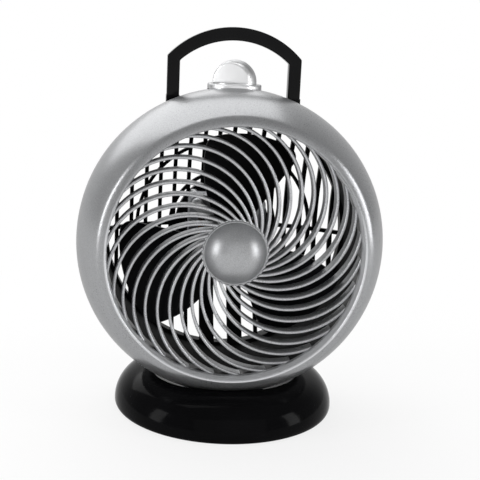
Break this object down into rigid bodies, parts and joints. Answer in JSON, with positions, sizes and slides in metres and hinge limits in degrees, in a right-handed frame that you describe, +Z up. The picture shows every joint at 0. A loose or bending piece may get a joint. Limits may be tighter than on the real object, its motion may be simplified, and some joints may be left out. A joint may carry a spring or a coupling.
{
  "type": "personal fan",
  "caption": "Round table fan: silver ring with a spiral rib grille and dome cap, black drum with carrying handle and top speed knob, tilting on a domed black base.",
  "frame": {"origin": "on the table, under the middle of the base", "axes": "+Z up, front of the fan towards -Y, +X to the right as seen from the front"},
  "size_m": [0.24, 0.1766, 0.3011],
  "materials": {
    "silver_paint": "satin silver metallic paint",
    "silver_grille": "satin silver metallic paint",
    "silver_cap": "satin silver metallic paint",
    "bright_silver": "bright silver paint",
    "black_gloss": "gloss black",
    "handle_black": "gloss black",
    "base_black": "gloss black",
    "guard_black": "satin black",
    "blade_black": "satin black",
    "cover_black": "fine texture",
    "switch_plastic": "moulded",
    "rubber_black": "matte",
    "screw_steel": "zinc plated",
    "shaft_steel": "ground",
    "core_steel": "stacked sheet edges",
    "coil_copper": "enamelled wire",
    "bracket_alloy": "die cast",
    "bearing_bronze": "sintered",
    "ballast_iron": "as cast"
  },
  "bodies": {
    "base": {"base_shell": "base_black", "base_plate": "cover_black", "base_screws": "screw_steel", "rubber_feet": "rubber_black", "ballast_weight": "ballast_iron", "rest_pads": "rubber_black", "tilt_pin": "shaft_steel", "tilt_nut": "screw_steel", "friction_washers": "bearing_bronze"},
    "head": {"front_ring": "silver_paint", "front_grille": "silver_grille", "grille_cap": "silver_cap", "cap_screw": "screw_steel", "grille_screws": "screw_steel", "rear_housing": "black_gloss", "housing_screws": "screw_steel", "handle": "handle_black", "handle_screws": "screw_steel", "rear_grille": "guard_black", "rear_grille_screws": "screw_steel", "switch_body": "switch_plastic", "switch_nut": "screw_steel", "stator_core": "core_steel", "stator_coils": "coil_copper", "motor_rear_bracket": "bracket_alloy", "motor_front_bracket": "bracket_alloy", "rear_bearing": "bearing_bronze", "front_bearing": "bearing_bronze", "motor_bolts": "screw_steel", "motor_screws": "screw_steel", "cord_gland": "rubber_black"},
    "rotor": {"impeller": "blade_black", "impeller_nut": "screw_steel", "motor_shaft": "shaft_steel", "rotor_core": "core_steel", "thrust_washers": "bearing_bronze"},
    "knob": {"speed_knob": "bright_silver", "switch_spindle": "shaft_steel"}
  },
  "joints": [
    {"name": "head_tilt", "type": "hinge", "parent": "base", "child": "head", "pos_m": [0, 0.049, 0.023], "axis": [-1, 0, 0], "range_deg": [0, 15]},
    {"name": "impeller_spin", "type": "hinge", "parent": "head", "child": "rotor", "pos_m": [0, 0, 0.136], "axis": [0, 1, 0], "continuous": true},
    {"name": "speed_turn", "type": "hinge", "parent": "head", "child": "knob", "pos_m": [0, 0.01, 0.2537], "axis": [0, 0, -1], "range_deg": [0, 90]}
  ]
}
